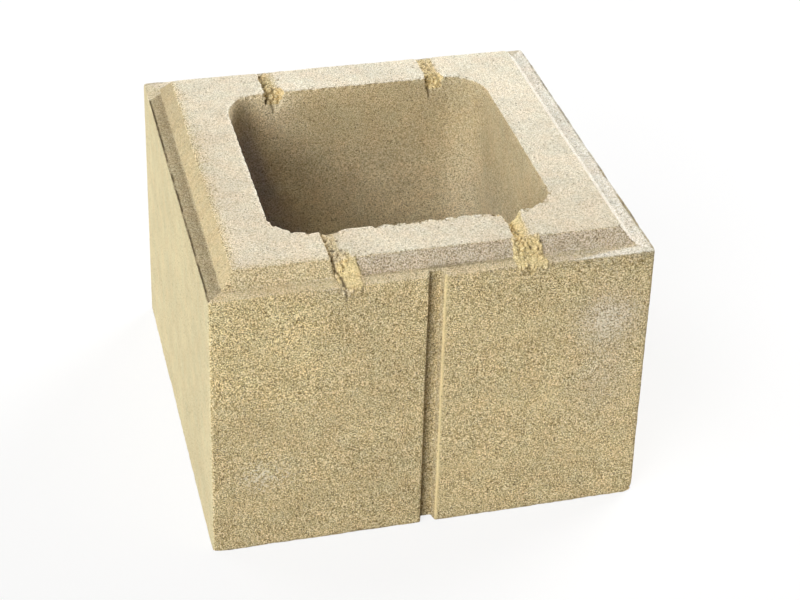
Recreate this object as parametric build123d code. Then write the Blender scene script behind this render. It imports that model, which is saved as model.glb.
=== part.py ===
from build123d import *
import os

# Hollow pillar block, cast upright in one piece of concrete: a square block with a through
# core, a raised bearing rim, dummy mortar joints and break-out notches.
# Millimetres, +Z up, front face towards -Y, origin at the middle of the foot.

# Outer block
foot_width = 280.0  # across opposite faces, at the foot
block_height = 200.0  # from the foot to the bearing rim
face_draft = 1.5  # lean of each outer face between foot and ledge, which frees the mould
corner_radius = 2.0  # worn round on the four standing corners

# Raised bearing rim, with a ledge and bevel outside it that show as a bed joint
bed_joint_height = 9.5  # from the ledge up to the rim
ledge_width = 9.5  # flat strip between the outer face and the bevel
bevel_run = 8.0  # how far the bevel goes in as it climbs the joint height
rim_corner_radius = 3.0  # plan corners of the bevel

# Through core
wall_thickness = 48.0  # from the outer face at the ledge to the core at the rim
core_corner_radius = 26.0
core_draft = 1.5  # the core is this much narrower on each side at the foot

# Standing dummy joint in the middle of the front and back faces
groove_width = 10.0  # at the face
groove_depth = 6.0
groove_side_lean = 1.5  # each side comes in this much from face to floor

# Break-out notches, pressed from above through the front and back walls
notch_spacing = 114.0  # between the middles of the two notches of a wall
notch_pair_offset = 2.0  # the pair sits this far to +X of the groove
notch_width = 14.0  # at the rim
notch_depth = 17.0  # from the rim to the tip
notch_tip_height = 7.5  # pointed lower part of the blade
notch_side_lean = 1.5  # each blade side comes in this much above the point

# How far a cutter runs clear of the solid
cut_clearance = 5.0

ledge_level = block_height - bed_joint_height
ledge_square = foot_width - 2 * face_draft
rim_foot_square = ledge_square - 2 * ledge_width
rim_square = rim_foot_square - 2 * bevel_run
core_width = ledge_square - 2 * wall_thickness


def rounded_square(width, radius, level):
    """A square face with round corners, centred on the block's axis."""
    return Plane.XY.offset(level) * RectangleRounded(width, width, radius)


def drafted_block():
    """The outer block up to the ledge, each face leaning in by the draft."""
    foot = rounded_square(foot_width, corner_radius, 0)
    ledge = rounded_square(ledge_square, corner_radius, ledge_level)
    return loft([foot, ledge])


def bearing_rim():
    """The bevelled pad above the ledge that carries the next block."""
    rim_foot = rounded_square(rim_foot_square, rim_corner_radius, ledge_level)
    rim = rounded_square(rim_square, rim_corner_radius, block_height)
    return loft([rim_foot, rim])


def core_cutter():
    """The core former: widest at the rim, and carried past both ends at the same draft."""
    draft_per_level = core_draft / block_height
    past = draft_per_level * cut_clearance
    low = rounded_square(core_width - 2 * (core_draft + past), core_corner_radius, -cut_clearance)
    high = rounded_square(core_width + 2 * past, core_corner_radius, block_height + cut_clearance)
    return loft([low, high])


def groove_cutter():
    """The standing joint of the front face, at one depth all the way up the leaning face."""
    lean_per_level = face_draft / ledge_level
    widen = groove_side_lean / groove_depth * cut_clearance
    face_half = groove_width / 2
    floor_half = face_half - groove_side_lean
    low = -cut_clearance
    face_y = -foot_width / 2 + lean_per_level * low
    outline = Polyline(
        (-face_half - widen, face_y - cut_clearance),
        (-floor_half, face_y + groove_depth),
        (floor_half, face_y + groove_depth),
        (face_half + widen, face_y - cut_clearance),
        close=True,
    )
    section = Plane.XY.offset(low) * make_face(outline)
    rise = Vector(0, lean_per_level, 1)
    length = (ledge_level + 2 * cut_clearance) * rise.length
    return extrude(section, amount=length, dir=rise)


def notch_cutter(middle):
    """A pointed blade laid from front to back, which notches both walls at once."""
    mouth_half = notch_width / 2
    shoulder_half = mouth_half - notch_side_lean
    shoulder_level = block_height - notch_depth + notch_tip_height
    tip_level = block_height - notch_depth
    blade_top = block_height + cut_clearance
    outline = Polyline(
        (middle - mouth_half, blade_top),
        (middle - mouth_half, block_height),
        (middle - shoulder_half, shoulder_level),
        (middle, tip_level),
        (middle + shoulder_half, shoulder_level),
        (middle + mouth_half, block_height),
        (middle + mouth_half, blade_top),
        close=True,
    )
    section = Plane.XZ * make_face(outline)
    return extrude(section, amount=foot_width / 2 + cut_clearance, both=True)


def pillar_block():
    """The whole block as one solid."""
    block = drafted_block() + bearing_rim()
    block -= core_cutter()
    groove = groove_cutter()
    block -= groove
    block -= groove.rotate(Axis.Z, 180)
    for side in (-1, 1):
        block -= notch_cutter(notch_pair_offset + side * notch_spacing / 2)
    return block


os.makedirs("parts", exist_ok=True)
export_step(pillar_block(), "parts/pillar_block.step")
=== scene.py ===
import math
from itertools import product
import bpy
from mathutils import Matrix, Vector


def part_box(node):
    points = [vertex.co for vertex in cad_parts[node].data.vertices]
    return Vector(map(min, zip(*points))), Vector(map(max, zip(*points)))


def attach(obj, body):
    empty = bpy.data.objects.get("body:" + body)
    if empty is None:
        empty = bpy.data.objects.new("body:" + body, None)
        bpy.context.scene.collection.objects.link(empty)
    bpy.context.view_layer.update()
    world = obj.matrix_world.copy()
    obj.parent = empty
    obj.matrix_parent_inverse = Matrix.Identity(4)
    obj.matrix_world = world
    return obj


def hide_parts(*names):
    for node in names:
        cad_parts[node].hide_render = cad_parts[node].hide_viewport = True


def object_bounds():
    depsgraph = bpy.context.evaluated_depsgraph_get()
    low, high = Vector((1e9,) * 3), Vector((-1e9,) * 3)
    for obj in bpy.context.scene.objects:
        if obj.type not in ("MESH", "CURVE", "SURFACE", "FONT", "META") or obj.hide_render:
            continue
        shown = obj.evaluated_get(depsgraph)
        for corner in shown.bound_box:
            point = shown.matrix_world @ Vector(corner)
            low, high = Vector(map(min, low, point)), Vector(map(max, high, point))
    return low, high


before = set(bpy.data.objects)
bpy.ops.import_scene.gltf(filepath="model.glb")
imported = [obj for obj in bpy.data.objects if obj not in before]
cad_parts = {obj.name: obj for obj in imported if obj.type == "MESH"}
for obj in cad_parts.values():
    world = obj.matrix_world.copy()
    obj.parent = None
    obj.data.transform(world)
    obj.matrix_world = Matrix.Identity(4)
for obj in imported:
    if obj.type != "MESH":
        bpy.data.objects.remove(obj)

from types import SimpleNamespace

import bmesh
import bpy
import numpy as np
from mathutils import Matrix, Vector

# Hollow pillar block of buff dry-cast concrete. The CAD solid is joined with the crumbs that lie in
# its notches and remeshed, its arrises are worn and its ledge is given the fins that the mould
# leaves. One procedural concrete colours it. Lengths in the modelling functions are millimetres.

cad_low, cad_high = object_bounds()
block_low, block_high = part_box("pillar_block")

MM = 0.001

# Steps of the solid: its rim's rise, its draft, the ledge and bevel outside the rim, the wall between
# the ledge's arris and the core, and the depth of a notch and of the point below its shoulders
RIM_RISE = 9.5
FACE_DRAFT = 1.5
LEDGE_WIDTH = 9.5
BEVEL_RUN = 8.0
WALL = 48.0
NOTCH_DEPTH = 17.0
NOTCH_POINT = 7.5

# Main levels and half widths, the same as the solid's
FOOT_HALF = block_high.x / MM
RIM_LEVEL = block_high.z / MM
LEDGE_LEVEL = RIM_LEVEL - RIM_RISE
LEDGE_HALF = FOOT_HALF - FACE_DRAFT
BEVEL_FOOT_HALF = LEDGE_HALF - LEDGE_WIDTH
RIM_HALF = BEVEL_FOOT_HALF - BEVEL_RUN
CORE_HALF = LEDGE_HALF - WALL
CORE_RADIUS = 26.0
CORE_DRAFT = 1.5
GROOVE_HALF = 5.0
NOTCH_HALF = 7.0
NOTCH_SHOULDER_HALF = 5.5
NOTCH_ROOT = RIM_LEVEL - NOTCH_DEPTH
NOTCH_SHOULDER = NOTCH_ROOT + NOTCH_POINT

# Mesh density
VOXEL = 0.6
MOST_TRIANGLES = 190000
SHARP_ANGLE = math.radians(38.0)
FINE_FROM = 0.25


# Random fields

LATTICE = 48
LATTICE_SHIFT = 1000.0
TURN = np.array(Matrix.Rotation(0.7, 3, (0.48, 0.6, 0.64)))
OCTAVE_FALL = 0.55

# Period, seed and, for rough noise, octaves of each field
SMALL_WEAR = (5.0, 11, 3)
CHIP_WEAR = (19.0, 21, 3)
PLUCKED = (4.2, 15)
FACE_WAVES = (55.0, 31)
STEP_GRAIN = (2.6, 45, 2)
CRUMBS = (3.2, 51)
FIN_LENGTHS = (11.0, 71, 3)
STEP_WOBBLE = (7.0, 81, 3)
DIRT_BREAKS = (4.5, 85, 2)
FOOT_BREAKS = (6.0, 87, 2)
STAIN_PATCHES = (13.0, 89, 3)
NOTCH_RAGGED = (6.0, 91, 2)
TONGUE_RAGGED = (7.0, 93, 3)
CREVICE_RAGGED = (5.0, 95, 3)
CREVICE_BREAKS = (4.0, 97, 2)

# Crumbs missing from the core's arris: the soft edge of each hollow, and the span of a crumb's random
# number over which its hollow comes in
HOLLOW_EDGE = 0.35
HOLLOW_CHANCE = (0.35, 0.55)


def lattice_noise(points, period, seed):
    """A smooth field from -1 to 1, from seeded values on a lattice with that period."""
    table = np.random.default_rng(seed).uniform(-1.0, 1.0, (LATTICE,) * 3)
    scaled = points / period + LATTICE_SHIFT
    cell = np.floor(scaled).astype(np.int64)
    part = scaled - cell
    part = part * part * (3.0 - 2.0 * part)
    total = np.zeros(len(points))
    for corner in product((0, 1), repeat=3):
        weight = np.ones(len(points))
        index = []
        for axis in range(3):
            weight *= part[:, axis] if corner[axis] else 1.0 - part[:, axis]
            index.append((cell[:, axis] + corner[axis]) % LATTICE)
        total += weight * table[index[0], index[1], index[2]]
    return total


def rough_noise(points, period, seed, octaves):
    """Several turned lattice fields, each finer and weaker than the last."""
    total = np.zeros(len(points))
    strength = 1.0
    weight = 0.0
    for octave in range(octaves):
        points = points @ TURN
        total += strength * lattice_noise(points, period, seed + octave)
        weight += strength
        strength *= OCTAVE_FALL
        period *= 0.5
    return total / weight


def crumb_cells(points, period, seed):
    """Scattered crumbs, one to each cell of that period: how far a point is from the middle of its
    crumb, how far inside its crumb, 0 on the gap between two, and a random number of that crumb."""
    spots = np.random.default_rng(seed).uniform(0.0, 1.0, (LATTICE,) * 3 + (3,))
    scaled = points / period + LATTICE_SHIFT
    cell = np.floor(scaled).astype(np.int64)
    nearest = np.full(len(points), 9.0)
    second = nearest.copy()
    chance = np.zeros(len(points))
    for step in product((-1, 0, 1), repeat=3):
        home = cell + np.array(step)
        index = home % LATTICE
        spot = spots[index[:, 0], index[:, 1], index[:, 2]]
        distance = np.linalg.norm(scaled - home - spot, axis=1)
        chance = np.where(distance < nearest, spot.sum(axis=1) % 1.0, chance)
        second = np.minimum(second, np.maximum(nearest, distance))
        nearest = np.minimum(nearest, distance)
    return nearest, second - nearest, chance


def missing_crumbs(points, period, seed):
    """Hollows left by about half of the crumbs, from 0 to 1."""
    _, inside, chance = crumb_cells(points, period, seed)
    return np.clip(inside / HOLLOW_EDGE, 0.0, 1.0) * smooth_step(*HOLLOW_CHANCE, chance)


def where(mask, field, points, *settings):
    """A random field worked out only where the mask is set, and 0 elsewhere."""
    values = np.zeros(len(points))
    values[mask] = field(points[mask], *settings)
    return values


def smooth_step(low, high, value):
    t = np.clip((value - low) / (high - low), 0.0, 1.0)
    return t * t * (3.0 - 2.0 * t)


def band(value, low, high, soft):
    """1 between low and high, falling to 0 over the soft width outside them."""
    return smooth_step(low - soft, low, value) * (1.0 - smooth_step(high, high + soft, value))


# Where a point is on the block

def reach(p):
    """Distance of a point from the upright axis, measured square."""
    return np.maximum(np.abs(p[:, 0]), np.abs(p[:, 1]))


def face_half(level):
    """Half width of the leaning outer faces at a level."""
    return FOOT_HALF - (FOOT_HALF - LEDGE_HALF) * np.clip(level / LEDGE_LEVEL, 0.0, 1.0)


def core_gap(p):
    """Distance outwards from the core's wall, negative inside the core."""
    half = CORE_HALF - CORE_DRAFT * (1.0 - p[:, 2] / RIM_LEVEL)
    over = np.abs(p[:, :2]) - (half - CORE_RADIUS)[:, None]
    outside = np.hypot(np.maximum(over[:, 0], 0.0), np.maximum(over[:, 1], 0.0))
    return outside + np.minimum(over.max(axis=1), 0.0) - CORE_RADIUS


def sides(p):
    """1 for the points on the front, back, left and right quarter of the block, else 0."""
    x, y = p[:, 0], p[:, 1]
    wide = np.abs(x) >= np.abs(y)
    return {
        "front": (~wide & (y < 0.0)).astype(float), "back": (~wide & (y >= 0.0)).astype(float),
        "left": (wide & (x < 0.0)).astype(float), "right": (wide & (x >= 0.0)).astype(float),
    }


# The break-out notches as they are found, partly filled with crumbs: the wall of each (-1 is the
# front), its middle, its depth where it opens into the core, its depth below the top further out
# at the three stations, how far its colour differs from the rim's, how yellow it is, the offset
# where its right flank turns smooth, and the share of the depth at offsets across it
NOTCH_STATIONS = (CORE_HALF + 8.0, RIM_HALF, BEVEL_FOOT_HALF + 1.0)
NOTCH_MOUTH_RUN = 9.0
# The tints and yellows of the notches are set lighter partly as painted light, against the shade that
# falls in them
NOTCHES = (
    {"wall": -1, "middle": -55.0, "mouth": 0.0, "depths": (2.7, 3.3, 0.0),
     "tint": 0.85, "yellow": 0.2, "smooth": -1.0,
     "across": ((-7.0, 0.0), (-6.2, 1.0), (-3.0, 1.0), (0.3, 0.75), (2.8, 0.5), (6.7, 0.0))},
    {"wall": -1, "middle": 59.0, "mouth": 17.0, "depths": (7.0, 1.8, -0.3),
     "tint": 0.5, "yellow": 0.9, "smooth": -3.0,
     "across": ((-6.5, 0.0), (-5.6, 0.95), (-3.0, 1.0), (-0.5, 0.7), (1.5, 0.35), (4.0, 0.12),
                (6.5, 0.0))},
    {"wall": 1, "middle": -55.0, "mouth": 9.5, "depths": (1.6, 1.3, 0.2),
     "tint": 0.45, "yellow": 0.55, "smooth": 8.0,
     "across": ((-6.6, 0.0), (-5.4, 1.0), (-3.8, 1.0), (-2.0, 0.6), (2.0, 0.4), (5.0, 0.2),
                (7.0, 0.0))},
    {"wall": 1, "middle": 59.0, "mouth": 9.0, "depths": (1.0, 0.9, 0.0),
     "tint": 0.35, "yellow": 0.6, "smooth": 8.0,
     "across": ((-6.5, 0.0), (-5.0, 0.8), (-2.5, 1.0), (0.5, 0.7), (3.0, 0.9), (6.5, 0.0))},
)


def top_level(p):
    """Level of the rim, bevel or ledge at a point's distance from the axis."""
    return np.interp(reach(p), (RIM_HALF, BEVEL_FOOT_HALF), (RIM_LEVEL, LEDGE_LEVEL))


def notch_depth(notch, offset, along):
    """Depth of a notch below the top, at an offset across it and a distance from the axis."""
    share = np.interp(offset, *zip(*notch["across"]))
    depth = share * np.interp(along, NOTCH_STATIONS, notch["depths"])
    opening = 1.0 - smooth_step(CORE_HALF, CORE_HALF + NOTCH_MOUTH_RUN, along)
    return np.maximum(depth, opening * notch["mouth"] * smooth_step(0.0, 0.3, share))


def notch_section(offset):
    """Level of the clean notch's sides at an offset from its middle."""
    offsets = (0.0, NOTCH_SHOULDER_HALF, NOTCH_HALF)
    return np.interp(np.abs(offset), offsets, (NOTCH_ROOT, NOTCH_SHOULDER, RIM_LEVEL))


def notch_fields(p):
    """How far each point lies in a broken notch, and how crumbly, tinted, yellow and pale it is."""
    zone, crumbly, tint, yellow, pale = np.zeros((5, len(p)))
    for notch in NOTCHES:
        beside = p[:, 0] - notch["middle"]
        here = (np.abs(beside) < 2.0 * NOTCH_HALF) & (notch["wall"] * p[:, 1] > CORE_HALF - 2.0)
        here &= p[:, 2] > NOTCH_ROOT - 4.0
        q, across = p[here], beside[here]
        ragged = across + rough_noise(q, *NOTCH_RAGGED)
        depth = top_level(q) - q[:, 2]
        inside = band(ragged, notch["across"][0][0], notch["across"][-1][0], 1.0)
        inside *= smooth_step(0.2, 1.4, core_gap(q))
        inside *= smooth_step(-1.5, 0.0, q[:, 2] - notch_section(across))
        outer = smooth_step(RIM_HALF - 12.0, RIM_HALF, reach(q))
        flank = smooth_step(notch["smooth"], notch["smooth"] + 3.0, across) * (1.0 - outer)
        pale_flank = flank * (notch["mouth"] == 0.0)
        zone[here] = inside * smooth_step(0.3, 1.6, depth)
        crumbly[here] = zone[here] * (1.0 - 0.9 * flank)
        tint[here] = notch["tint"] * inside * smooth_step(0.3, 3.0, depth) * (1.0 - pale_flank)
        yellow[here] = notch["yellow"] * inside * smooth_step(0.3, 2.5, depth) * (1.0 - pale_flank)
        pale[here] = inside * pale_flank
    return zone, crumbly, tint, yellow, pale


# Tongues of crumbs that came out of the front notches over the bevel and ledge: their left and
# right sides, thickness, how lumpy they are, and the level that they reach down to
TONGUES = ((-57.5, -46.0, 0.9, 0.25, 183.0), (52.0, 68.0, 1.0, 0.7, 186.0))
TONGUE_SWAY = 3.0
# How far right of a tongue the shadow painted beside it lies
TONGUE_SHADE_AWAY = 1.3


def tongue_fields(p):
    """How far each point lies on a tongue, its thickness and lumps, and the shadow painted on the bevel
    to its right.
    """
    cover, thickness, lumpy, shade = np.zeros((4, len(p)))
    here = (p[:, 1] < -RIM_HALF + 6.0) & (p[:, 2] > NOTCH_ROOT - 6.0)
    q = p[here]
    ragged = q[:, 0] + TONGUE_SWAY * rough_noise(q, *TONGUE_RAGGED)
    outer = smooth_step(RIM_HALF - 4.0, RIM_HALF + 3.0, -q[:, 1])
    faint = 0.4 + 0.6 * smooth_step(LEDGE_LEVEL - 3.0, LEDGE_LEVEL, q[:, 2])
    for left, right, thick, lumps, low in TONGUES:
        lies = outer * smooth_step(low - 3.0, low + 3.0, q[:, 2])
        cover[here] += faint * lies * band(ragged, left, right, 2.0)
        thickness[here] += thick * lies * band(ragged, left, right, 1.0)
        lumpy[here] += lumps * lies * band(ragged, left, right, 2.0)
        beside = worn(ragged - right - TONGUE_SHADE_AWAY, 0.8)
        shade[here] += lies * beside * (q[:, 2] > LEDGE_LEVEL + 0.5)
    return cover, thickness, lumpy, shade


# Pits between the crumbs of the notches, with shade painted dark into them: place across and along the
# block, and radius
PITS = (
    (-59.0, -98.5, 1.0), (-57.0, -99.0, 0.9), (-53.2, -100.0, 1.0), (-59.2, -103.0, 1.0),
    (-57.2, -108.0, 1.0), (-53.1, -110.5, 1.0), (-58.7, -115.0, 1.1), (-58.3, -119.0, 1.2),
    (-55.0, -104.5, 0.8), (-55.4, -113.5, 0.9), (-52.0, -116.0, 0.8),
    (56.8, -112.0, 1.1), (57.9, -114.0, 0.9), (57.4, -120.0, 0.9), (62.0, -125.5, 0.8),
    (66.5, -126.5, 0.7), (57.0, -130.5, 0.9), (68.3, -123.6, 0.7),
    (-57.5, 112.5, 1.2), (-57.8, 107.0, 1.0), (-56.1, 103.0, 1.2), (-54.6, 98.3, 1.1),
    (-48.3, 109.0, 0.9), (-46.5, 106.5, 0.8),
    (57.7, 113.0, 1.6), (54.8, 109.0, 1.1), (58.9, 110.5, 1.1), (58.9, 105.0, 1.4),
    (64.3, 110.3, 1.1), (54.9, 99.6, 0.9), (48.3, 108.5, 0.9),
)
PIT_DEPTH = 1.5
PIT_EDGE = (0.5, 1.4)

# Pits at the top of the front face, with shade painted dark into them: place across and up the block,
# and radius
FACE_PITS = ((57.0, 189.5, 1.0), (58.0, 187.5, 0.8), (58.6, 185.4, 0.8))


def pits(p):
    """How deep each point lies in a pit, from 0 to 1."""
    total = np.zeros(len(p))
    top = (p[:, 2] > LEDGE_LEVEL - 5.0) & (p[:, 1] > -LEDGE_HALF + 1.0) & (core_gap(p) > 0.5)
    for x, y, radius in PITS:
        total += top * (1.0 - smooth_step(*PIT_EDGE, np.hypot(p[:, 0] - x, p[:, 1] - y) / radius))
    front = p[:, 1] < -LEDGE_HALF + 2.0
    for x, z, radius in FACE_PITS:
        total += front * (1.0 - smooth_step(*PIT_EDGE, np.hypot(p[:, 0] - x, p[:, 2] - z) / radius))
    return total


# Crevices at the sides of the notches, with shade painted dark into them: the wall (-1 is the front),
# half width, strength, height of the lip on the left, and a line of runs outwards from the core's arris
# (negative runs are down the core's wall), each with its place across the block
CREVICES = (
    {"wall": 1, "half": 1.0, "strength": 0.75, "lip": 0.8, "line": (
        (-15.5, -55.2), (-11.5, -56.0), (-6.0, -57.6), (-1.0, -60.0), (3.0, -60.2), (28.0, -59.8))},
    {"wall": 1, "half": 0.8, "strength": 0.75, "lip": 0.2, "line": (
        (-16.0, 56.0), (-8.0, 55.0), (-3.0, 54.6), (0.5, 54.0), (3.0, 53.5))},
    {"wall": 1, "half": 0.8, "strength": 0.65, "lip": 0.0, "line": (
        (-8.0, 61.3), (-6.0, 62.3), (-2.4, 63.9), (1.0, 65.5))},
    {"wall": -1, "half": 0.9, "strength": 0.6, "lip": 0.0, "line": (
        (26.0, -60.3), (34.0, -59.5), (38.0, -57.2), (47.0, -56.7))},
    {"wall": -1, "half": 0.7, "strength": 0.4, "lip": 0.0, "line": ((2.0, -61.2), (26.0, -60.4))},
)
CREVICE_DEPTH = 1.5
CREVICE_SWAY = 0.9
LIP_AWAY = 2.2
LIP_HALF = 0.9


def crevices(p):
    """How deep each point lies in a crevice, from 0 to 1, and the height of the lip beside it."""
    total, lip = np.zeros((2, len(p)))
    for crevice in CREVICES:
        here = (crevice["wall"] * p[:, 1] > CORE_HALF - 2.0) & (p[:, 2] > NOTCH_ROOT - 3.0)
        q = p[here]
        run = np.where(core_gap(q) > 1.0, np.abs(q[:, 1]) - CORE_HALF, q[:, 2] - RIM_LEVEL)
        runs, places = zip(*crevice["line"])
        beside = q[:, 0] - np.interp(run, runs, places)
        beside += CREVICE_SWAY * rough_noise(q, *CREVICE_RAGGED)
        length = band(run, runs[0], runs[-1], 1.5)
        length *= np.clip(0.85 + 1.2 * rough_noise(q, *CREVICE_BREAKS), 0.3, 1.0)
        total[here] += crevice["strength"] * worn(beside, crevice["half"]) * length
        lip[here] += crevice["lip"] * worn(beside + LIP_AWAY, LIP_HALF) * length * (run > 0.0)
    return total, lip


# Mesh

def cad_copy():
    """The CAD solid's mesh as a new welded object."""
    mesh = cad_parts["pillar_block"].data.copy()
    mesh.materials.clear()
    block = bpy.data.objects.new("pillar_block_concrete", mesh)
    bpy.context.scene.collection.objects.link(block)
    weld = block.modifiers.new("weld", "WELD")
    weld.merge_threshold = 0.01 * MM
    return block


def settle(block):
    """Applies the object's modifiers to its mesh."""
    depsgraph = bpy.context.evaluated_depsgraph_get()
    mesh = bpy.data.meshes.new_from_object(block.evaluated_get(depsgraph))
    block.modifiers.clear()
    block.data = mesh


def coordinates(mesh):
    """Vertex positions and normals, the positions in millimetres."""
    count = len(mesh.vertices)
    places = np.empty(count * 3)
    mesh.vertices.foreach_get("co", places)
    normals = np.empty(count * 3)
    mesh.vertices.foreach_get("normal", normals)
    return places.reshape(-1, 3) / MM, normals.reshape(-1, 3)


def worn(distance, width):
    """How strongly wear acts at a distance from an arris."""
    return np.exp(-((distance / width) ** 2))


def arris_distances(p):
    """Distance of each point from each kind of arris."""
    x, y, z = p.T
    r = reach(p)
    half = face_half(z)
    return {
        "inner rim": np.hypot(core_gap(p), z - RIM_LEVEL),
        "outer rim": np.hypot(r - RIM_HALF, z - RIM_LEVEL),
        "bevel foot": np.hypot(r - BEVEL_FOOT_HALF, z - LEDGE_LEVEL),
        "ledge": np.hypot(r - LEDGE_HALF, z - LEDGE_LEVEL),
        "foot": np.hypot(r - FOOT_HALF, z),
        "corner": np.hypot(np.abs(x) - half, np.abs(y) - half),
        "groove": np.hypot(np.abs(x) - GROOVE_HALF, np.abs(y) - half),
    }


# Wear of each arris: how far it reaches, and how deep its small and its larger chips are
WEAR = {
    "inner rim": (1.5, 0.4, 1.0), "outer rim": (1.6, 0.3, 0.7), "ledge": (1.2, 0.3, 1.2),
    "foot": (1.6, 0.5, 1.6), "corner": (1.5, 0.4, 1.3), "groove": (1.2, 0.3, 0.8),
}
WEAR_REACH = 6.0
PLUCKED_REACH = 2.6
PLUCKED_DEPTH = 3.2
LEFT_RIM_ROUNDING = 0.3
CREASE_FOOT_WEAR = 0.4

# Noise above which there are small and larger chips, and how frayed the core's arris is: at least,
# between which places it frays towards the front, and how much more it is at the back
SMALL_ABOVE = -0.3
LARGER_ABOVE = 0.22
FRAYED_LEAST = 0.12
FRAYED_FROM = (-60.0, -75.0)
FRAYED_BACK = 0.3


def arris_wear(p, near):
    """Depth that crumbling takes off the arrises, most of all off the core's front arris."""
    side = sides(p)
    close = np.min(list(near.values()), axis=0) < WEAR_REACH
    small = np.clip(where(close, rough_noise, p, *SMALL_WEAR) - SMALL_ABOVE, 0.0, None)
    chip = np.clip(where(close, rough_noise, p, *CHIP_WEAR) - LARGER_ABOVE, 0.0, None)
    plucked = where(near["inner rim"] < WEAR_REACH, missing_crumbs, p, *PLUCKED)
    frayed = FRAYED_LEAST + (1.0 - FRAYED_LEAST) * smooth_step(*FRAYED_FROM, p[:, 1])
    frayed += FRAYED_BACK * side["back"]

    depth = PLUCKED_DEPTH * frayed * plucked * worn(near["inner rim"], PLUCKED_REACH)
    for name, (width, small_depth, chip_depth) in WEAR.items():
        share = frayed if name == "inner rim" else 1.0
        depth += share * worn(near[name], width) * (small_depth * small + chip_depth * chip)
    depth += LEFT_RIM_ROUNDING * side["left"] * worn(near["outer rim"], WEAR["outer rim"][0])
    # The crease is worn a little deeper along the stretch where its shade is painted
    crease_stretch = side["front"] * band(p[:, 0], *BEVEL_FOOT_CREASE, 5.0)
    return depth + CREASE_FOOT_WEAR * crease_stretch * worn(near["bevel foot"], 1.0)


# Knocked corners: place, radius and depth
CHIPS = (
    ((FOOT_HALF, -FOOT_HALF, 0.0), 4.0, 1.8),
    ((-FOOT_HALF, -FOOT_HALF, 0.0), 3.5, 1.0),
    ((FOOT_HALF, FOOT_HALF, 0.0), 6.5, 2.4),
    ((50.8, -CORE_HALF, RIM_LEVEL), 3.6, 2.4),
    ((-47.5, -RIM_HALF - 1.0, RIM_LEVEL - 1.0), 4.5, 1.6),
)


def corner_chips(p):
    """Depth knocked off the corners."""
    depth = np.zeros(len(p))
    for place, radius, deep in CHIPS:
        distance = np.linalg.norm(p - np.array(place), axis=1)
        depth += deep * worn(distance, radius)
    return depth


WAVINESS = 0.25
STEP_ROUGHNESS = 0.14


def unevenness(p):
    """Slight waviness of the cast faces, and the rougher grain of the ledge and bevel."""
    fine = band(p[:, 2], LEDGE_LEVEL - 1.0, RIM_LEVEL - 1.0, 1.0) * (reach(p) > RIM_HALF)
    rough = fine * where(fine > 0.0, rough_noise, p, *STEP_GRAIN)
    return WAVINESS * lattice_noise(p, *FACE_WAVES) + STEP_ROUGHNESS * rough


# The fin along the outer arris of the ledge: its strength by side, its height and half width, the
# trough behind it, and where the left one starts and is broken off
FIN_SIDES = {"left": 1.0, "right": 0.8, "back": 0.5, "front": 0.1}
FIN_HEIGHT = 0.9
FIN_HALF = 0.7
FIN_TROUGH = 1.1
FIN_INSET = 1.2
FIN_START = 113.0
FIN_GAP = (13.0, 27.0)


def fin_strength(p):
    """How far the mould's fin stands along the ledge, in broken lengths."""
    side = sides(p)
    strength = sum(FIN_SIDES[name] * side[name] for name in FIN_SIDES)
    missing = smooth_step(FIN_START, FIN_START + 2.0, p[:, 1]) + 0.8 * band(p[:, 1], *FIN_GAP, 2.0)
    strength *= 1.0 - side["left"] * missing
    near = (reach(p) > LEDGE_HALF - 5.0) & (np.abs(p[:, 2] - LEDGE_LEVEL) < 2.5)
    lengths = where(near, rough_noise, p, *FIN_LENGTHS)
    whole = 0.45 + 0.5 * side["left"]
    return near * strength * np.clip(whole + 1.3 * lengths, 0.0, 1.0)


def fin_lift(p, strength):
    """Height of the fin, and of the trough just behind it."""
    inside = LEDGE_HALF - reach(p)
    on_ledge = smooth_step(LEDGE_LEVEL - 1.6, LEDGE_LEVEL - 0.2, p[:, 2])
    ridge = FIN_HEIGHT * worn(inside - 0.1, FIN_HALF)
    trough = FIN_TROUGH * worn(inside - FIN_INSET, FIN_HALF)
    return on_ledge * strength * (ridge - trough)


# Relief of the crumbs: its height, how far in from a gap it rises, and how deep the gaps lie
CRUMB_RELIEF = 5.0
CRUMB_RISE = 0.5
CRUMB_SINK = 0.22


def crumb_relief(p, crumbly):
    """Lumps of the broken notches, and the shade painted dark into the gaps between them."""
    here = crumbly > 0.0
    lumps, gaps = np.zeros((2, len(p)))
    away, inside, _ = crumb_cells(p[here], *CRUMBS)
    lumps[here] = CRUMB_RELIEF * (np.minimum(inside, CRUMB_RISE) - CRUMB_SINK)
    gaps[here] = 0.45 * smooth_step(0.66, 0.85, away)
    gaps[here] += 0.12 * (1.0 - smooth_step(0.0, 0.12, inside))
    return crumbly * lumps, crumbly * gaps


# Hairline crack below the left front notch: its line down the front face, and the waves of that line,
# each by how far it sways and how fast
CRACK_TOP = (-56.7, LEDGE_LEVEL)
CRACK_END = (-55.0, NOTCH_ROOT - 3.0)
CRACK_HALF = 0.7
CRACK_STRENGTH = 0.65
CRACK_DEPTH = 0.8
CRACK_WAVES = ((0.4, 0.9), (0.3, 2.3))


def crack(p):
    """How strongly the crack shows at each point."""
    level = p[:, 2]
    line = np.interp(level, (CRACK_END[1], CRACK_TOP[1]), (CRACK_END[0], CRACK_TOP[0]))
    line += sum(sway * np.sin(level * rate) for sway, rate in CRACK_WAVES)
    height = band(level, CRACK_END[1], CRACK_TOP[1], 2.0)
    front = p[:, 1] < -BEVEL_FOOT_HALF + 1.0
    return CRACK_STRENGTH * worn(p[:, 0] - line, CRACK_HALF) * height * front


# How much wider the faces stand at the foot than the solid's, and how far from the core that is full
FOOT_FLARE = 1.4
FLARE_RUN = 40.0


def flare(p):
    """Share by which the outer faces spread towards the foot."""
    outside = smooth_step(0.0, FLARE_RUN, core_gap(p))
    return outside * FOOT_FLARE / FOOT_HALF * (1.0 - np.clip(p[:, 2] / LEDGE_LEVEL, 0.0, 1.0))


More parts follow.
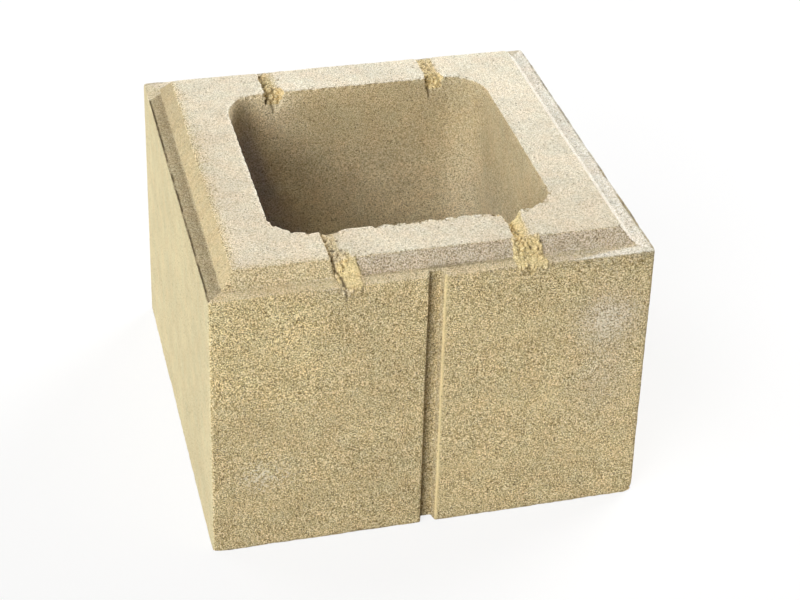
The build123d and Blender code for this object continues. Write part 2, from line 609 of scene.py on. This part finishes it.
def surface_fields(p):
    """What both the shape and the colours are worked out from, at each point."""
    f = {"near": arris_distances(p), "fin": fin_strength(p), "pit": pits(p)}
    f["zone"], f["crumbly"], f["tint"], f["yellow"], f["pale"] = notch_fields(p)
    f["tongue"], f["thickness"], f["lumpy"], f["shade"] = tongue_fields(p)
    f["crevice"], f["lip"] = crevices(p)
    f["relief"], f["gaps"] = crumb_relief(p, np.maximum(f["crumbly"], f["lumpy"]))
    return f


def colour_marks(p, f):
    """The marks that the material reads: those of the steps, changed in the notches and tongues."""
    marks = step_marks(p, f["near"])
    marks["pale"] = np.maximum(marks["pale"], f["pale"])
    for name in ("pale", "white", "right_painted_light", "grey", "dim"):
        marks[name] *= 1.0 - np.maximum(f["tint"], 0.8 * f["tongue"])
    marks["crumb"] = f["tint"]
    marks["yellow"] = np.max([marks["yellow"], f["yellow"], 0.75 * f["tongue"]], axis=0)
    marks["white"] += 0.8 * f["lip"]
    # Shade painted dark into the gaps between crumbs, the crevices and the pits, and the shadow painted
    # beside the tongues
    marks["dark"] = dark_lines(p, f["near"], f["fin"]) + f["gaps"] * (1.0 - 0.5 * f["tongue"])
    marks["dark"] += f["crevice"] + 0.75 * f["pit"] + 0.3 * f["shade"]
    marks["bloom"] = bloom(p)
    # The right bloom greys the sand with the same colour as the core's painted shade
    marks["shade"] += BLOOM_GREYING * marks["bloom"] * (p[:, 0] > 0.0)
    marks["calm"] = np.max([marks["calm"], 0.5 * f["zone"], 0.5 * f["tongue"]], axis=0)
    return {name: np.clip(values, 0.0, 1.0) for name, values in marks.items()}


def moved_points(p, normal, f):
    """Where the points go: along their normals, outwards at the foot, and up on the fin."""
    shift = unevenness(p) + f["thickness"] + f["lip"] + f["relief"]
    shift -= arris_wear(p, f["near"]) + corner_chips(p)
    shift -= CRACK_DEPTH * crack(p) + CREVICE_DEPTH * f["crevice"] + PIT_DEPTH * f["pit"]
    moved = p + normal * shift[:, None]
    moved[:, :2] *= 1.0 + flare(p)[:, None]
    moved[:, 2] += fin_lift(p, f["fin"])
    moved[:, 2] = np.maximum(moved[:, 2], 0.0)
    return moved


def sculpt(mesh):
    """Moves the remeshed surface, marks what shows in its colour, and says what to keep fine."""
    p, normal = coordinates(mesh)
    f = surface_fields(p)
    marks = colour_marks(p, f)
    mesh.vertices.foreach_set("co", (moved_points(p, normal, f) * MM).ravel())
    for name, values in marks.items():
        data = mesh.attributes.new(name, "FLOAT", "POINT").data
        data.foreach_set("value", values.astype(np.float32))
    mesh.update()
    crest = worn(f["near"]["inner rim"], CREST_WIDTH) * (p[:, 1] < CORE_HALF - CORE_RADIUS)
    return np.max([crest, f["zone"], f["tongue"], marks["dark"]], axis=0) > FINE_FROM


# White bloom on the front face: middle across, middle up, half width, half height, strength. On the
# right it also greys the sand below it
BLOOMS = (
    (112.0, 146.0, 20.0, 16.0, 0.85), (-107.0, 57.0, 13.0, 13.0, 1.0),
    (112.0, 105.0, 20.0, 35.0, 0.4), (-60.0, 80.0, 10.0, 8.0, 0.35),
)
BLOOM_GREYING = 0.4


def bloom(p):
    """How thick the white bloom lies on the front face."""
    total = np.zeros(len(p))
    front = p[:, 1] < -LEDGE_HALF + 3.0
    for x, z, wide, high, strength in BLOOMS:
        spot = np.exp(-((p[:, 0] - x) / wide) ** 2 - ((p[:, 2] - z) / high) ** 2)
        total += strength * spot * front
    return total


# Pale wedge on the front ledge, partly painted light: where it starts on the arris, and its widening
# per length
WEDGE_START = 85.0
WEDGE_RISE = 0.18

# Where the front bevel and ledge turn greyer, by the left notch, the left end of the pale far part of
# the left ledge, and the width of the highlight painted along the core's arris
GREYER_FROM = (-58.0, -40.0)
FAR_LEFT = -136.7
CREST_WIDTH = 1.6


def step_zones(p):
    """The parts of the block's steps, and its faces and core, from 0 to 1 at each point."""
    x, y, z = p.T
    r = reach(p)
    side = sides(p)
    wobble = where((r > RIM_HALF - 8.0) & (z > LEDGE_LEVEL - 3.0), rough_noise, p, *STEP_WOBBLE)
    face = (z < LEDGE_LEVEL - 0.5) * (r > LEDGE_HALF - 2.0)
    middle = smooth_step(*GREYER_FROM, x)
    rim = smooth_step(RIM_LEVEL - 0.9, RIM_LEVEL - 0.2, z) * (core_gap(p) > -0.5)
    stained = 0.8 * side["left"] + 0.5 * side["front"] * (1.0 - middle)
    rim *= 1.0 - stained * (1.0 - smooth_step(-2.0, 7.0, RIM_HALF - r + 2.0 * wobble))
    widening = WEDGE_RISE * (x - WEDGE_START) - (LEDGE_HALF - r)
    return SimpleNamespace(
        rim=rim, face=face, middle=middle,
        bevel=band(z, LEDGE_LEVEL + 0.6, RIM_LEVEL - 0.9, 0.4) * (r > RIM_HALF - 1.0),
        ledge=band(z, LEDGE_LEVEL - 0.5, LEDGE_LEVEL + 0.6, 0.3) * (r > BEVEL_FOOT_HALF - 0.6),
        core=(core_gap(p) < 0.6) * (z < RIM_LEVEL - 0.6),
        upper=smooth_step(LEDGE_LEVEL - 12.0, LEDGE_LEVEL - 1.0, z) * face,
        far_left=smooth_step(-1.5, 1.5, y - FIN_START - (x - FAR_LEFT)),
        wedge=smooth_step(-0.8, 1.6, widening + 1.2 * wobble),
    )


# The rim is painted whitish towards the back right, as painted light from that side, by the way and the
# run of that, and turns whitish in the middle of its front, by the ends of that stretch and how soft
# they are
WHITER_WAY = (0.55, 0.8)
WHITER_RUN = (-60.0, 100.0)
WHITE_FRONT = (-25.0, 25.0, 30.0)


def pale_marks(p, near, side, zone):
    """How pale and whitish the steps are, with light painted whitish towards the back right of the rim,
    on the right bevel and ledge and on the front ledge's wedge, and a highlight painted along the
    core's arris.
    """
    x, y = p[:, 0], p[:, 1]
    front, left, right = side["front"], side["left"], side["right"]
    pale = zone.rim + (zone.bevel + zone.ledge) * (right + side["back"]) + 0.15 * zone.bevel * left
    pale += zone.ledge * (left * zone.far_left + front * zone.wedge)
    pale += 0.35 * front * zone.middle * (1.0 - zone.wedge) * zone.ledge
    pale += 0.2 * front * (1.0 - zone.middle) * (zone.bevel + zone.ledge)
    # Painted light: the rim whiter towards the back right
    white = 0.65 * zone.rim * smooth_step(*WHITER_RUN, WHITER_WAY[0] * x + WHITER_WAY[1] * y)
    white += 0.25 * zone.rim * front * band(x, *WHITE_FRONT)
    # Painted highlight along the core's arris
    white += worn(near["inner rim"], CREST_WIDTH) * (left + 0.6 * front)
    # Painted light on the right bevel and ledge, which the raised rim shades, and on the front ledge's
    # wedge
    right_painted_light = (zone.bevel + zone.ledge) * right + 0.7 * zone.ledge * front * zone.wedge
    return {"pale": pale, "white": white, "right_painted_light": right_painted_light}


# Runs over which the dull marks come in: grey along the front ledge, dim along the left bevel, along
# the top of the front face, and up and across the core's wall
LEDGE_GREY_RUN = (50.0, 80.0)
BEVEL_DIM_RUN = (0.0, 110.0)
UPPER_DIM_RUN = (-60.0, 70.0)
CORE_DIM_UP = (150.0, 190.0)
CORE_DIM_ACROSS = (20.0, 60.0)


def dull_marks(p, near, side, zone):
    """How grey and how dim the steps, the top of the front face, the groove and the core are."""
    x, y, z = p.T
    front, left = side["front"], side["left"]
    grey = front * (0.15 + 0.85 * zone.middle) * zone.bevel
    grey += front * (0.22 + 0.3 * smooth_step(*LEDGE_GREY_RUN, x)) * zone.ledge * (1.0 - zone.wedge)
    grey += front * 0.4 * (1.0 - zone.middle) * zone.upper
    dim = left * zone.ledge * (1.0 - zone.far_left)
    dim += left * (0.45 + 0.3 * smooth_step(*BEVEL_DIM_RUN, y)) * zone.bevel
    dim += front * 0.5 * smooth_step(*UPPER_DIM_RUN, x) * zone.upper
    dim += 0.6 * zone.core * smooth_step(*CORE_DIM_UP, z) * smooth_step(*CORE_DIM_ACROSS, x)
    return {"grey": grey, "dim": dim + arris_stain(p, near) + groove_marks(p)["wall"]}


# Runs over which the upper left of the front face turns yellow, across and up the block
YELLOW_ACROSS = (-50.0, -90.0)
YELLOW_UP = (90.0, 130.0)


def step_marks(p, near):
    """Where the steps, faces and core differ from plain sand colour, and how even they are."""
    x, _, z = p.T
    side = sides(p)
    zone = step_zones(p)
    # The groove's right arris carries a painted highlight, yellow and even
    groove_highlight = groove_marks(p)["groove_highlight"]
    upper_left = smooth_step(*YELLOW_ACROSS, x) * smooth_step(*YELLOW_UP, z)
    # The core gets painted shade in its dark part and painted light above it
    painted_shade_part, painted_light_part = core_light(x, z)
    calm = [
        0.7 * zone.face * side["left"], 0.35 * zone.core, 0.3 * zone.ledge, 0.2 * zone.bevel,
        0.65 * zone.bevel * side["left"], groove_highlight]
    return {
        **pale_marks(p, near, side, zone), **dull_marks(p, near, side, zone),
        "lemon": side["left"] * (zone.face + 0.5 * zone.ledge * zone.far_left),
        "yellow": 0.8 * groove_highlight + 0.6 * side["front"] * zone.face * upper_left,
        "core": zone.core, "core_painted_light": zone.core * painted_light_part, "shade": zone.core * painted_shade_part,
        "calm": np.max(calm, axis=0),
    }


# The olive stain along the right arris of the ledge: its width, and its strongest stretch
STAIN_WIDTH = 2.6
STAIN_MOST = (-LEDGE_HALF, -45.0)


def arris_stain(p, near):
    """How stained the right arris of the ledge is, in patches."""
    here = (near["ledge"] < 8.0) & (p[:, 0] > BEVEL_FOOT_HALF)
    patches = smooth_step(-0.15, 0.25, where(here, rough_noise, p, *STAIN_PATCHES))
    strength = 0.25 + 0.55 * band(p[:, 1], *STAIN_MOST, 15.0)
    return here * strength * patches * worn(near["ledge"], STAIN_WIDTH)


# Painted shade on the core's left, darker and greyer: its upper border, by place across the block, and
# the heights above that between which it fades and the painted light comes in. The painted light ends
# towards the rim, by runs up the wall and across it
CORE_DARK_BORDER = ((-75.0, 175.0), (-62.0, 140.0), (-49.0, 100.0), (-27.0, 65.0), (0.0, 35.0))
CORE_DARK_FADE = (-5.0, 50.0)
CORE_PAINTED_LIGHT_RISE = (-15.0, 30.0)
CORE_RIM_UP = (85.0, 185.0)
CORE_RIM_ACROSS = (-55.0, -30.0)


def core_light(x, z):
    """How strongly shade is painted, darker and greyer, on the core's wall in its dark part, and how
    strongly light is painted above that, well below the rim.
    """
    over = z - np.interp(x, *zip(*CORE_DARK_BORDER))
    near_rim = smooth_step(*CORE_RIM_UP, z) * smooth_step(*CORE_RIM_ACROSS, x)
    pale = smooth_step(*CORE_PAINTED_LIGHT_RISE, over) * (1.0 - near_rim)
    return 1.0 - smooth_step(*CORE_DARK_FADE, over), pale


def groove_marks(p):
    """A highlight painted on the right arris of the front groove, and its dimmer floor and right wall.
    """
    x, y, z = p.T
    depth = face_half(z) + y
    here = (y < 0.0) & (np.abs(x) < 2.0 * GROOVE_HALF) & (z < LEDGE_LEVEL)
    groove_highlight = here * worn(np.hypot(x - GROOVE_HALF - 0.4, depth), 1.2)
    inside = here * smooth_step(0.6, 1.4, depth) * (np.abs(x) < GROOVE_HALF)
    return {"groove_highlight": groove_highlight, "wall": inside * (0.35 + 0.2 * (x > GROOVE_HALF - 1.6))}


# Stretch of the front bevel's foot where shade is painted into the crease, and where most of it is
# painted
BEVEL_FOOT_CREASE = (-40.0, 48.0)
BEVEL_FOOT_CREASE_MOST = (2.0, 32.0)


def dark_lines(p, near, fin):
    """The crack, dark specks on the right arris, a dark line at the feet, and shade painted in the
    trough behind the fin, in the crease at the front bevel's foot and in the groove's left corner.
    """
    x, y, z = p.T
    side = sides(p)
    near_fin = (near["ledge"] < 4.0) | (near["bevel foot"] < 4.0)
    breaks = where(near_fin, rough_noise, p, *DIRT_BREAKS)
    # Shade painted dark into the trough behind the fin
    gap = worn(LEDGE_HALF - reach(p) - FIN_INSET, 0.55) * (z > LEDGE_LEVEL - 0.8)
    gap *= fin * (1.0 - side["right"]) * np.clip(0.85 + 0.9 * breaks, 0.0, 0.95)
    by_right = np.maximum(side["right"], side["back"] * (x > LEDGE_HALF - 12.0))
    specks = by_right * worn(near["ledge"], 1.3)
    specks *= 0.25 + 0.5 * smooth_step(-0.1, 0.25, breaks)
    # Shade painted dark into the crease at the front bevel's foot
    crease_shade = 0.25 * band(x, *BEVEL_FOOT_CREASE, 8.0) + 0.2 * band(x, *BEVEL_FOOT_CREASE_MOST, 10.0)
    crease_shade *= worn(near["bevel foot"], 1.5) * side["front"] * np.clip(0.7 + 1.2 * breaks, 0.0, 1.0)
    foot = where(near["foot"] < 3.0, rough_noise, p, *FOOT_BREAKS)
    foot = 0.5 * worn(near["foot"], 0.9) * np.clip(0.6 + 0.9 * foot, 0.0, 1.0)
    # Shade painted dark into the groove's left inner corner
    corner = worn(x + GROOVE_HALF - 1.3, 0.9) * (face_half(z) + y > 3.5) * (y < 0.0)
    corner *= 0.5 * (z < LEDGE_LEVEL) * (face_half(z) + y < 8.0)
    return crack(p) + gap + specks + crease_shade + foot + corner


# Grid of the crumbs' bodies: its step, how far its sides sway, and its bottom
FILL_STEP = 0.7
FILL_RAGGED = 1.2
FILL_BOTTOM = NOTCH_ROOT - 5.0


def crumb_fill(notch):
    """The crumbs that lie in a notch as a closed body: a relief on a flat bottom."""
    across = np.arange(-NOTCH_HALF - 1.0, NOTCH_HALF + 1.0, FILL_STEP)
    along = np.arange(CORE_HALF + 0.2, LEDGE_HALF - 0.2, FILL_STEP)
    offset, depth_in = [grid.ravel() for grid in np.meshgrid(across, along)]
    places = np.zeros((len(offset), 3))
    places[:, 0] = notch["middle"] + offset
    places[:, 1] = notch["wall"] * depth_in
    top = places.copy()
    ragged = offset + FILL_RAGGED * rough_noise(places, *NOTCH_RAGGED)
    top[:, 2] = top_level(places) - notch_depth(notch, ragged, depth_in) - 0.1
    bottom = places.copy()
    bottom[:, 2] = FILL_BOTTOM
    return np.vstack([top, bottom]), grid_faces(len(across), len(along), notch["wall"] > 0)


def grid_faces(wide, long, flip):
    """Faces of a closed relief: its top and bottom grids of points, and the skirt between them."""
    count = wide * long
    faces = []
    for row, column in product(range(long - 1), range(wide - 1)):
        a = row * wide + column
        top = (a, a + 1, a + wide + 1, a + wide)
        faces.append(top)
        faces.append(tuple(corner + count for corner in reversed(top)))
    edge = list(range(wide))
    edge += [row * wide + wide - 1 for row in range(1, long)]
    edge += [(long - 1) * wide + column for column in range(wide - 2, -1, -1)]
    edge += [row * wide for row in range(long - 2, 0, -1)]
    for a, b in zip(edge, edge[1:] + edge[:1]):
        faces.append((b, a, a + count, b + count))
    return faces if flip else [tuple(reversed(face)) for face in faces]


def add_crumbs(block):
    """Joins the crumbs of the four notches to the block's mesh."""
    bm = bmesh.new()
    bm.from_mesh(block.data)
    for notch in NOTCHES:
        places, faces = crumb_fill(notch)
        corners = [bm.verts.new(place) for place in places * MM]
        for face in faces:
            bm.faces.new([corners[index] for index in face])
    bm.to_mesh(block.data)
    bm.free()


def keep_fine(block, chosen):
    """Keeps the chosen vertices out of the thinning that follows."""
    group = block.vertex_groups.new(name="fine")
    group.add(np.nonzero(chosen)[0].tolist(), 1.0, "REPLACE")
    return group.name


def build_block():
    """The CAD solid and its crumbs remeshed finely, sculpted, and thinned where flat."""
    block = cad_copy()
    settle(block)
    add_crumbs(block)
    remesh = block.modifiers.new("remesh", "REMESH")
    remesh.mode = "VOXEL"
    remesh.voxel_size = VOXEL * MM
    settle(block)
    chosen = sculpt(block.data)
    thin = block.modifiers.new("thin", "DECIMATE")
    thin.ratio = MOST_TRIANGLES / (2.0 * len(block.data.polygons))
    thin.vertex_group = keep_fine(block, chosen)
    thin.invert_vertex_group = True
    settle(block)
    block.data.polygons.foreach_set("use_smooth", np.ones(len(block.data.polygons), bool))
    block.data.set_sharp_from_angle(angle=SHARP_ANGLE)
    return block


# Material

class Nodes:
    """Short calls for adding nodes to one material."""

    def __init__(self, name):
        self.material = bpy.data.materials.new(name)
        self.material.use_nodes = True
        self.tree = self.material.node_tree
        self.tree.nodes.clear()

    def add(self, kind, inputs=None, **settings):
        node = self.tree.nodes.new(kind)
        for key, value in settings.items():
            setattr(node, key, value)
        for key, value in (inputs or {}).items():
            self.put(node.inputs[key], value)
        return node

    def put(self, socket, value):
        if isinstance(value, bpy.types.NodeSocket):
            self.tree.links.new(value, socket)
        else:
            socket.default_value = value

    def mark(self, name):
        """A vertex mark by name."""
        return self.add("ShaderNodeAttribute", attribute_name=name).outputs["Fac"]

    def noise(self, place, period, detail, roughness):
        node = self.add("ShaderNodeTexNoise", {
            "Vector": place, "Scale": 1.0 / (period * MM),
            "Detail": detail, "Roughness": roughness})
        return node.outputs["Fac"]

    def ramp(self, value, stops):
        node = self.add("ShaderNodeValToRGB", {"Fac": value})
        elements = node.color_ramp.elements
        while len(elements) < len(stops):
            elements.new(0.5)
        for element, (position, colour) in zip(elements, stops):
            element.position = position
            element.color = (*colour, 1.0)
        return node.outputs["Color"]

    def range(self, value, low, high, to_low=0.0, to_high=1.0):
        node = self.add("ShaderNodeMapRange", {
            "Value": value, "From Min": low, "From Max": high, "To Min": to_low, "To Max": to_high},
            interpolation_type="SMOOTHSTEP")
        return node.outputs["Result"]

    def math(self, operation, first, second):
        node = self.add("ShaderNodeMath", operation=operation)
        self.put(node.inputs[0], first)
        self.put(node.inputs[1], second)
        return node.outputs[0]

    def mix(self, factor, first, second, blend="MIX"):
        node = self.add("ShaderNodeMix", data_type="RGBA", blend_type=blend)
        self.put(node.inputs[0], factor)
        self.put(node.inputs[6], first)
        self.put(node.inputs[7], second)
        return node.outputs[2]


# Colours of the concrete's parts, and of the shade and light painted on it
SAND = (0.65, 0.52, 0.278, 1.0)
PALE = (0.66, 0.576, 0.422, 1.0)
WHITISH = (0.81, 0.742, 0.582, 1.0)
GREY = (0.57, 0.475, 0.335, 1.0)
DIM = (0.47, 0.385, 0.23, 1.0)
CORE = (0.57, 0.465, 0.27, 1.0)
# Painted shade of the core's dark part, and the grey that the bloom leaves on the right
PAINTED_SHADE_AND_BLOOM_GREY = (0.48, 0.425, 0.40, 1.0)
# Painted light on the core's wall above its dark part
CORE_PAINTED_LIGHT = (0.79, 0.675, 0.445, 1.0)
CRUMB = (0.73, 0.62, 0.415, 1.0)
YELLOW = (0.76, 0.615, 0.32, 1.0)
LEMON = (0.65, 0.56, 0.335, 1.0)
# Painted light on the right steps and the front ledge's wedge
RIGHT_PAINTED_LIGHT = (0.81, 0.75, 0.625, 1.0)
BLOOM = (0.90, 0.82, 0.64, 1.0)
# Dark lines, gaps and pits, many of them painted shade
DARK = (0.14, 0.105, 0.06, 1.0)
PORE = (0.16, 0.12, 0.065, 1.0)

# Sizes of the sand grains and specks, and the tones that they multiply the colour by
GRAIN_SIZE = 0.45
GRAIN_TONES = (
    (0.00, (0.08, 0.06, 0.02)), (0.18, (0.46, 0.41, 0.28)), (0.45, (1.08, 1.07, 1.03)),
    (0.85, (1.27, 1.32, 1.50)), (1.00, (1.38, 1.47, 1.78)),
)
SPECK_SIZE = 0.8
SPECK_TONES = ((0.25, (0.52, 0.48, 0.39)), (0.5, (1.07, 1.07, 1.05)), (0.75, (1.25, 1.29, 1.43)))

# Noises by period, detail and roughness, where most of a noise's values lie, and what they change
BREAKUP = (3.0, 3.0, 0.65)
MOTTLE = (24.0, 3.0, 0.55)
MOTTLE_TONES = (0.95, 1.05)
CLOUDS = (110.0, 2.0, 0.5)
CLOUD_TONES = (0.96, 1.04)
HUE_PATCHES = (14.0, 2.0, 0.6)
HUES = ((0.3, (1.02, 0.987, 0.968)), (0.7, (0.98, 1.013, 1.032)))
FLAKES = (1.5, 2.0, 0.6)
FLAKE_GAIN = 0.16
FLAKE_EDGE = (0.61, 0.68)
NOISE_SPAN = (0.3, 0.7)

# Pores: their spacing, the edge of one as a share of it, and how dark they are
PORE_SPACING = 4.5
PORE_EDGE = (0.09, 0.16)
PORE_STRENGTH = 0.8

# Bump: its depth, the height of a grain's dome and of a speck, and its strength where rough and calm
BUMP_DEPTH = 0.25
GRAIN_DOME = 0.8
SPECK_HEIGHT = 1.2
BUMP_STRENGTHS = (0.55, 0.2)
PALE_CALM = 0.45
ROUGHNESS = 0.92
SPECULAR = 0.25


def patchy(n, mark, breakup):
    """A mark whose soft border is broken up by noise."""
    pushed = n.math("ADD", mark, n.range(breakup, *NOISE_SPAN, -0.2, 0.2))
    return n.math("MULTIPLY", n.range(pushed, 0.1, 0.9), n.range(mark, 0.0, 0.12))


def marked_colour(n, place):
    """Sand colour, changed where the marks say, painted shade and light among them, and how even it is.
    """
    breakup = n.noise(place, *BREAKUP)
    pale = n.mark("pale")
    colour = n.mix(n.mark("core"), SAND, CORE)
    # Painted shade and painted light in the core
    colour = n.mix(n.mark("shade"), colour, PAINTED_SHADE_AND_BLOOM_GREY)
    colour = n.mix(n.mark("core_painted_light"), colour, CORE_PAINTED_LIGHT)
    colour = n.mix(pale, colour, PALE)
    colour = n.mix(n.mark("white"), colour, WHITISH)
    # Painted light on the right steps
    colour = n.mix(n.mark("right_painted_light"), colour, RIGHT_PAINTED_LIGHT)
    colour = n.mix(n.mark("lemon"), colour, LEMON)
    for name, tint in (("grey", GREY), ("dim", DIM), ("crumb", CRUMB), ("yellow", YELLOW)):
        colour = n.mix(patchy(n, n.mark(name), breakup), colour, tint)
    calm = n.math("MAXIMUM", n.math("MULTIPLY", pale, PALE_CALM), n.mark("calm"))
    return colour, calm


def mottled(n, place, colour):
    """The colour with soft patches of tone and hue."""
    tone = n.range(n.noise(place, *MOTTLE), *NOISE_SPAN, *MOTTLE_TONES)
    clouds = n.range(n.noise(place, *CLOUDS), *NOISE_SPAN, *CLOUD_TONES)
    colour = n.mix(1.0, colour, n.math("MULTIPLY", tone, clouds), "MULTIPLY")
    return n.mix(1.0, colour, n.ramp(n.noise(place, *HUE_PATCHES), HUES), "MULTIPLY")


def spotted(n, place, colour):
    """The colour with flakes of bloom, pores, and the dark marks, painted shade among them."""
    mark = n.mark("bloom")
    flakes = n.math("ADD", n.noise(place, *FLAKES), n.math("MULTIPLY", mark, FLAKE_GAIN))
    colour = n.mix(n.math("MULTIPLY", n.range(flakes, *FLAKE_EDGE), mark), colour, BLOOM)
    pores = n.add("ShaderNodeTexVoronoi", {"Vector": place, "Scale": 1.0 / (PORE_SPACING * MM)})
    pore = n.range(pores.outputs["Distance"], *PORE_EDGE, PORE_STRENGTH, 0.0)
    colour = n.mix(pore, colour, PORE)
    return n.mix(n.mark("dark"), colour, DARK)


def concrete():
    """Buff concrete: sand grains of mixed tones, mottling, bloom, pores and a grainy bump."""
    n = Nodes("buff_concrete")
    place = n.add("ShaderNodeTexCoord").outputs["Object"]
    colour, calm = marked_colour(n, place)
    colour = mottled(n, place, colour)
    grains = n.add("ShaderNodeTexVoronoi", {"Vector": place, "Scale": 1.0 / (GRAIN_SIZE * MM)})
    tint = n.add("ShaderNodeSeparateColor", {"Color": grains.outputs["Color"]}).outputs[0]
    speck = n.noise(place, SPECK_SIZE, 0.0, 0.0)
    rough = n.math("SUBTRACT", 1.0, calm)
    colour = n.mix(rough, colour, n.ramp(tint, GRAIN_TONES), "MULTIPLY")
    colour = n.mix(rough, colour, n.ramp(speck, SPECK_TONES), "MULTIPLY")
    colour = spotted(n, place, colour)

    dome = n.math("MULTIPLY", grains.outputs["Distance"], -GRAIN_DOME)
    bump = n.add("ShaderNodeBump", {
        "Height": n.math("ADD", dome, n.math("MULTIPLY", speck, SPECK_HEIGHT)),
        "Distance": BUMP_DEPTH * MM, "Strength": n.range(calm, 0.0, 0.8, *BUMP_STRENGTHS)})
    shader = n.add("ShaderNodeBsdfPrincipled", {
        "Base Color": colour, "Roughness": ROUGHNESS, "Specular IOR Level": SPECULAR,
        "Normal": bump.outputs["Normal"]})
    n.add("ShaderNodeOutputMaterial", {"Surface": shader.outputs[0]})
    return n.material


# Floor and light

# The floor: its side and drop below the block, in metres, its colour for the light that it throws
# back and for the camera, and how far it glows there
FLOOR_SIDE = 12.0
FLOOR_DROP = 0.0002
FLOOR_ALBEDO = (0.35, 0.35, 0.35, 1.0)
FLOOR_SEEN = (0.97, 0.97, 0.97, 1.0)
FLOOR_GLOW = 0.8
WHITE = (1.0, 1.0, 1.0, 1.0)


def seen_directly(n):
    """1 for rays that show the floor itself: from the camera, a mirror or glass."""
    path = n.add("ShaderNodeLightPath")
    seen = n.math("MAXIMUM", path.outputs["Is Camera Ray"], path.outputs["Is Glossy Ray"])
    return n.math("MAXIMUM", seen, path.outputs["Is Transmission Ray"])


def floor():
    """A plain white floor that keeps a faint shadow."""
    bpy.ops.mesh.primitive_plane_add(size=FLOOR_SIDE, location=(0.0, 0.0, cad_low.z - FLOOR_DROP))
    plane = bpy.context.object
    plane.name = "floor"
    n = Nodes("white_floor")
    seen = seen_directly(n)
    dull = n.add("ShaderNodeBsdfDiffuse", {"Color": n.mix(seen, FLOOR_ALBEDO, FLOOR_SEEN)})
    glow = n.add("ShaderNodeEmission", {"Color": WHITE, "Strength": 1.0})
    both = n.add("ShaderNodeMixShader", {"Fac": n.math("MULTIPLY", seen, FLOOR_GLOW)})
    n.put(both.inputs[1], dull.outputs[0])
    n.put(both.inputs[2], glow.outputs[0])
    n.add("ShaderNodeOutputMaterial", {"Surface": both.outputs[0]})
    plane.data.materials.append(n.material)


# Soft lamps round the block: bearing leftwards from the front, elevation, strength
LAMPS = {
    "front left": (40.0, 15.0, 2.1), "left": (60.0, 45.0, 1.5),
    "back left": (135.0, 20.0, 1.3), "back right": (235.0, 20.0, 4.25),
}
LAMP_ANGLE = math.radians(40.0)
LAMP_AWAY = 2.0
SKY_LEVEL = 0.04


def lamp_way(bearing, elevation):
    """Direction from the block towards a lamp."""
    turn, rise = math.radians(bearing), math.radians(elevation)
    level = math.cos(rise)
    return Vector((-math.sin(turn) * level, -math.cos(turn) * level, math.sin(rise)))


def lights():
    """Four large soft lamps, low round the block, and a faint even sky."""
    for name, (bearing, elevation, strength) in LAMPS.items():
        lamp = bpy.data.lights.new(name, "SUN")
        lamp.energy = strength
        lamp.angle = LAMP_ANGLE
        way = lamp_way(bearing, elevation)
        holder = bpy.data.objects.new(name, lamp)
        bpy.context.scene.collection.objects.link(holder)
        holder.location = LAMP_AWAY * way
        holder.rotation_mode = "QUATERNION"
        holder.rotation_quaternion = (-way).to_track_quat("-Z", "Y")

    world = bpy.data.worlds.new("sky")
    world.use_nodes = True
    background = world.node_tree.nodes["Background"]
    background.inputs["Color"].default_value = WHITE
    background.inputs["Strength"].default_value = SKY_LEVEL
    bpy.context.scene.world = world


# Camera solved on the block's corners in the photograph, whose frame is 800 by 600 pixels: its focal
# length in pixels, its angles, and the block's middle as it sees it, rightwards, down and ahead
FRAME_WIDTH = 800.0
FOCAL_PIXELS = 1837.3
BEARING = math.radians(-15.287)
ELEVATION = math.radians(34.342)
ROLL = math.radians(-1.935)
TARGET = Vector((0.0, 0.0, 0.5 * block_high.z))
TARGET_IN_VIEW = Vector((-13.98, -16.26, 1256.2)) * MM
SENSOR_WIDTH = 36.0
NEAREST, FURTHEST = 0.05, 50.0


def camera():
    """The camera at the photograph's viewing angle."""
    data = bpy.data.cameras.new("camera")
    data.sensor_width = SENSOR_WIDTH
    data.lens = FOCAL_PIXELS / FRAME_WIDTH * SENSOR_WIDTH
    data.clip_start = NEAREST
    data.clip_end = FURTHEST
    ahead = Vector((
        -math.sin(BEARING) * math.cos(ELEVATION),
        math.cos(BEARING) * math.cos(ELEVATION),
        -math.sin(ELEVATION)))
    level = ahead.cross(Vector((0.0, 0.0, 1.0))).normalized()
    right = Matrix.Rotation(ROLL, 3, ahead) @ level
    down = ahead.cross(right)
    eye = TARGET - Matrix((right, down, ahead)).transposed() @ TARGET_IN_VIEW
    turn = Matrix((right, -down, -ahead)).transposed()
    shot = bpy.data.objects.new("camera", data)
    shot.matrix_world = Matrix.Translation(eye) @ turn.to_4x4()
    bpy.context.scene.collection.objects.link(shot)
    bpy.context.scene.camera = shot


bpy.context.scene.view_settings.view_transform = "Standard"
block = build_block()
block.data.materials.append(concrete())
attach(block, "root")
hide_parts("pillar_block")
floor()
lights()
camera()
